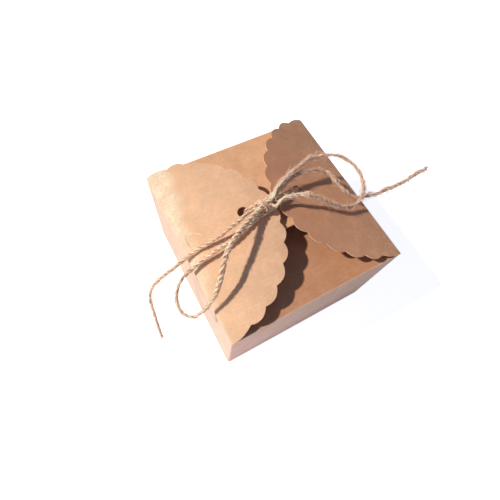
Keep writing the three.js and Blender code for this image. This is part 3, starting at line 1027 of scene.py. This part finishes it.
def wisps(strands, line, per_mm, sizes, lift):
    """Fibres wound along the twine as its plies are, off it in the middle or at one end."""
    step = (line[1] - line[0]).length
    turned = frames(line)
    for _ in range(round(per_mm * step * len(line))):
        span = rng.randrange(9, 34)
        if span + 4 > len(line):
            continue
        first = rng.randrange(1, len(line) - span - 1)
        angle = rng.uniform(0, 2 * math.pi)
        rate = 2 * math.pi / LAY_LENGTH * rng.uniform(-0.2, 1.1)
        high = lift * rng.random() ** 2.5
        at_end = rng.random() < 0.5
        points = []
        for k in range(0, span + 1, 2):
            t = k / span
            tangent, across, up = turned[first + k]
            off = t**2 if at_end else math.sin(math.pi * t)
            size = sized(sizes, (first + k) / len(line))
            reach = size * (PLY_RADIUS + PLY_OFFSET * 0.75) + high * off
            turn = angle + rate * k * step
            place = line[first + k] + (across * math.cos(turn) + up * math.sin(turn)) * reach
            place.z = max(place.z, LOWEST)
            points.append(place)
        thread(strands, points, rng.uniform(0.05, 0.1), rng.uniform(0, 99))


def tuft(strands, end, way, count, longest):
    """The loose fibres of a cut end."""
    for _ in range(count):
        side = way.orthogonal().normalized()
        side.rotate(Matrix.Rotation(rng.uniform(0, 2 * math.pi), 3, way))
        heading = way * rng.uniform(0.7, 1.3) + side * rng.uniform(0.05, 0.6)
        start = end - way * rng.uniform(0.2, 1.5) + side * rng.uniform(0.1, 0.8)
        bend = side * rng.uniform(-0.8, 0.8)
        length = rng.uniform(0.4, 1) * longest
        hair(strands, start, heading, bend, length, rng.uniform(0.03, 0.06), rng.uniform(0, 99))


def lay_fan(strands):
    """Pale loose fibres that spread from the knot over the first stretch of the right strands."""
    draw = random.Random(5)

    def within(*ranges):
        return Vector([draw.uniform(low, high) for low, high in ranges])

    loop, tail = ROUTES["twine_loop_right"], ROUTES["twine_tail_right"]
    for route in (loop[:3], tail[:3], loop[:-4:-1]):
        for k in range(8):
            aside = within((-0.5, 0.5), (-0.6, 0.6), (0.5, 1.0))
            spread = within((-0.4, 0.4), (-0.7, 0.7), (-0.2, 0.5))
            points = [NECK + Vector((3.4, 0.4, 1.3))]
            points += [Vector(at) + aside + spread * i / 3 for i, at in enumerate(route)]
            thread(strands, catmull(points, each=6), draw.uniform(0.08, 0.14), k * 3.0)


def wrapped_line():
    """The middle of the twine that winds round the neck, drawn in at both ends."""
    turn = math.radians(14)
    along = Vector((math.cos(turn), math.sin(turn), 0.0))
    across = Vector((-math.sin(turn), math.cos(turn), 0.0))
    points = []
    turns, steps = 3.2, 88
    for k in range(steps + 1):
        t = k / steps
        angle = -1.9 + 2 * math.pi * turns * t
        shift = -0.8 + 2.0 * t - 0.9 * math.cos(angle)
        tuck = 1 - 0.3 * (smooth(1 - t * 8) + smooth(1 - (1 - t) * 8))
        wide, tall = 2.7 * tuck, 2.35 * tuck
        place = NECK + along * shift + across * wide * math.cos(angle)
        points.append(place + Vector((0, 0, tall * math.sin(angle))))
    line, _ = evenly(catmull(points, each=6), RING_STEP)
    return line


def make_knot():
    """Strands run through it from side to side, pale wraps hold them, and fibres stand off it."""
    strands = Strands()
    left, right = ROUTES["twine_loop_left"], ROUTES["twine_loop_right"]
    tails = ROUTES["twine_tail_left"], ROUTES["twine_tail_right"]
    band = ROUTES["twine_band"]
    # Each run's start and end, its middle's place from the neck, and its size at both ends.
    runs = (
        (tails[0][0], tails[1][0], (-0.2, 0.9, 0.1), 1.05),
        (left[0], right[0], (0.0, 0.0, 1.0), 1.05),
        (left[-1], right[-1], (0.1, -1.1, 0.0), 1.05),
        (band[0], band[-1], (0.0, 0.3, -0.9), 1.05),
        (left[0], right[-1], (0.3, -0.5, -0.5), 1.05),
        ((-11.8, -4.9, 74.0), (-1.6, -4.0, 75.2), (-0.4, -2.6, -2.5), 0.45),
        ((-10.5, -1.8, 76.8), (1.4, -0.2, 78.2), (0.0, 0.2, 0.8), 0.45),
    )
    for index, (start, end, pull, ends) in enumerate(runs):
        start, end = Vector(start), Vector(end)
        way = (end - start).normalized()
        middle = NECK + Vector(pull)
        points = [start - way * 0.4, start + way * 1.0, middle, end - way * 1.0, end + way * 0.4]
        points[1] = points[1].lerp(middle, 0.25)
        points[3] = points[3].lerp(middle, 0.25)
        line, _ = evenly(catmull(points), RING_STEP)
        two_ply(strands, line, 50 + index, ((0, ends), (0.5, 0.85), (1, ends)))
    knot = strands.piece("twine_knot_tied", jute)
    settle(knot, "twine", "jute_twine", "twine_knot")
    line = wrapped_line()
    wraps = Strands()
    two_ply(wraps, line, 71, WRAP_SIZES)
    lay_fan(wraps)
    wraps = wraps.piece("twine_knot_wraps", jute_pale)
    settle(wraps, "twine", "jute_twine")
    loose = Strands()
    fuzz(loose, line, *KNOT_HAIRS["long"])
    per_mm, lift = KNOT_HAIRS["along"]
    wisps(loose, line, per_mm, ((0, 0.6), (1, 0.6)), lift)
    hairs = loose.piece("twine_knot_fuzz", jute_hair)
    settle(hairs, "twine", "jute_twine")
    return knot, wraps, hairs


def make_cord(number, name, points):
    """One stretch of the twine with its loose fibres."""
    shifts = NUDGES.get(name, ())
    points = [
        (x, y + (shifts[i] if i < len(shifts) else 0.0), z) for i, (x, y, z) in enumerate(points)
    ]
    line, length = evenly(catmull(points), RING_STEP)
    strands = Strands()
    bare = name in BARE_ENDS
    sizes = SIZES[name]
    right = "right" in name
    two_ply(strands, line, number + 1, sizes, fray=(0, FRAYED if bare else 0))
    cord = strands.piece(name + "_twisted", jute_browner if right else jute)
    settle(cord, "twine", "jute_twine", name)
    loose = Strands()
    look = RIGHT_HAIRS if right else LEFT_HAIRS
    fuzz(loose, line, *look["long"])
    fuzz(loose, line, *look["short"])
    per_mm, lift = look["along"]
    wisps(loose, line, per_mm, sizes, lift)
    if name == "twine_tail_left":
        for curl in CURLS:
            thread(loose, catmull(curl, each=5), CURL_RADIUS, 4.0)
    if bare:
        end_way = (line[-1] - line[-3]).normalized()
        tuft(loose, line[-1], end_way, TUFT_FIBRES, TUFT_LENGTH)
    hairs = loose.piece(name + "_fuzz", jute_hair)
    settle(hairs, "twine", "jute_twine")
    path, _ = evenly(line, PATH_STEP)


knot_pieces = make_knot()
for number, (name, points) in enumerate(ROUTES.items()):
    make_cord(number, name, points)


# ---- Floor and light ----

FLOOR_GLOW = 0.81
WORLD_TINT = (0.74, 0.95, 1.5, 1)
WORLD_STRENGTH = 0.185


def seen_rays(nodes):
    """1 for what the camera and reflections see, and 0 for what lights the object."""
    rays = nodes.add("ShaderNodeLightPath")
    return nodes.math("MAXIMUM", rays.outputs["Is Camera Ray"], rays.outputs["Is Glossy Ray"])


def make_floor():
    size = 3000.0
    corners = [(-size, -size, 0), (size, -size, 0), (size, size, 0), (-size, size, 0)]
    tone = linear(236, 232, 234)
    material, nodes, shader = new_material("floor", tone)
    shader.inputs["Base Color"].default_value = tone
    shader.inputs["Roughness"].default_value = 0.9
    shader.inputs["Specular IOR Level"].default_value = 0.1
    shader.inputs["Emission Color"].default_value = (1, 1, 1, 1)
    # Only slits in the box's bottom show the floor right under it. The box keeps the light off that
    # part, so it has no plain white.
    place = nodes.add("ShaderNodeNewGeometry").outputs["Position"]
    along = nodes.add("ShaderNodeSeparateXYZ", {"Vector": place}).outputs
    x, y = nodes.math("ABSOLUTE", along[0]), nodes.math("ABSOLUTE", along[1])
    beside = nodes.math("GREATER_THAN", nodes.math("MAXIMUM", x, y), (HALF - 2.0) * MM)
    seen = nodes.math("MULTIPLY", seen_rays(nodes), beside)
    glow = nodes.math("MULTIPLY", seen, FLOOR_GLOW)
    nodes.tree.links.new(glow, shader.inputs["Emission Strength"])
    floor = new_piece("floor", corners, [(0, 1, 2, 3)], [material])


def make_lamp(name, place, aim, size, power, colour):
    """A round lamp of size millimetres and power watts, with a linear colour."""
    data = bpy.data.lights.new(name, "AREA")
    data.shape = "DISK"
    data.size = size * MM
    data.energy = power
    data.color = colour
    lamp = bpy.data.objects.new(name, data)
    lamp.location = Vector(place) * MM
    way = Vector(aim) - Vector(place)
    lamp.rotation_euler = way.to_track_quat("-Z", "Y").to_euler()
    lamp.visible_camera = False
    scene.collection.objects.link(lamp)


def make_world():
    world = bpy.data.worlds.new("world")
    world.use_nodes = True
    scene.world = world
    sky = Nodes(world.node_tree)
    background = world.node_tree.nodes["Background"]
    seen = seen_rays(sky)
    sky.tree.links.new(sky.mix(seen, WORLD_TINT, (1, 1, 1, 1)), background.inputs["Color"])
    strength = sky.ramp(seen, 0.0, 1.0, WORLD_STRENGTH, 1.0)
    sky.tree.links.new(strength, background.inputs["Strength"])


# The key lamp is far off and small, as the sun is, and comes from the back left.
TOWARDS_KEY = Vector((-0.65, 0.276, 0.707)).normalized()
KEY_DISTANCE = 3000.0
TOP = Vector((0, 0, 65))
KEY = TOP + TOWARDS_KEY * KEY_DISTANCE
make_floor()
make_lamp("key", KEY, TOP, size=140.0, power=103.0, colour=(1.0, 0.98, 0.94))
make_lamp(
    "front_fill", (-66, -98, 36), (-38, -45, 32), size=60.0, power=0.0135, colour=(1.0, 0.82, 1.06)
)
make_lamp(
    "left_fill", (-430, -90, 90), (0, 0, 30), size=260.0, power=0.36, colour=(0.98, 0.95, 1.0)
)
make_world()
